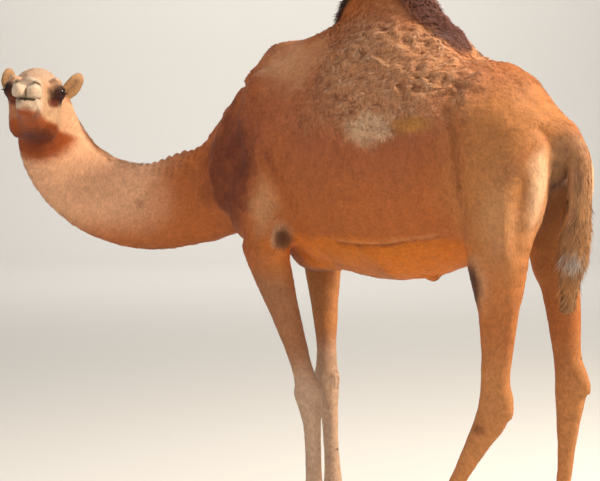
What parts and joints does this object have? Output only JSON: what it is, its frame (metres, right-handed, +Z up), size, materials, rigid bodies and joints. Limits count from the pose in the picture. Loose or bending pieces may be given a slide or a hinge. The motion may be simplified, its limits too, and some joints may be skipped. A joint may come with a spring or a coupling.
{
  "type": "one-humped camel",
  "caption": "Life-size still model of a standing one-humped camel with its neck curved to the left and its head turned back over it.",
  "frame": {"origin": "on the floor, under the middle of the whole animal", "axes": "+Z up; the trunk lies along X with the chest towards -X and the tail towards +X; the left side of the animal is towards -Y"},
  "size_m": [1.9708, 1.1634, 1.9679],
  "materials": {
    "coat": "short matt tan to red-brown hair",
    "hump_hair": "long dark brown woolly hair",
    "face": "very short pale hair over soft skin",
    "tail_hair": "long brown hair in locks",
    "foot": "thin hair over tough padded skin",
    "nail": "dark horn with a low sheen",
    "eye": "wet, very dark brown"
  },
  "bodies": {
    "root": {"trunk": "coat", "hump": "hump_hair", "neck_lower": "coat", "neck_middle": "coat", "neck_upper": "coat", "head": "face", "eye_left": "eye", "eye_right": "eye", "ear_left": "coat", "ear_right": "coat", "tail": "tail_hair", "foreleg_left_upper": "coat", "foreleg_left_lower": "coat", "foreleg_left_foot": "foot", "foreleg_left_nail_a": "nail", "foreleg_left_nail_b": "nail", "foreleg_right_upper": "coat", "foreleg_right_lower": "coat", "foreleg_right_foot": "foot", "foreleg_right_nail_a": "nail", "foreleg_right_nail_b": "nail", "hindleg_left_upper": "coat", "hindleg_left_lower": "coat", "hindleg_left_foot": "foot", "hindleg_left_nail_a": "nail", "hindleg_left_nail_b": "nail", "hindleg_right_upper": "coat", "hindleg_right_lower": "coat", "hindleg_right_foot": "foot", "hindleg_right_nail_a": "nail", "hindleg_right_nail_b": "nail"}
  },
  "joints": []
}
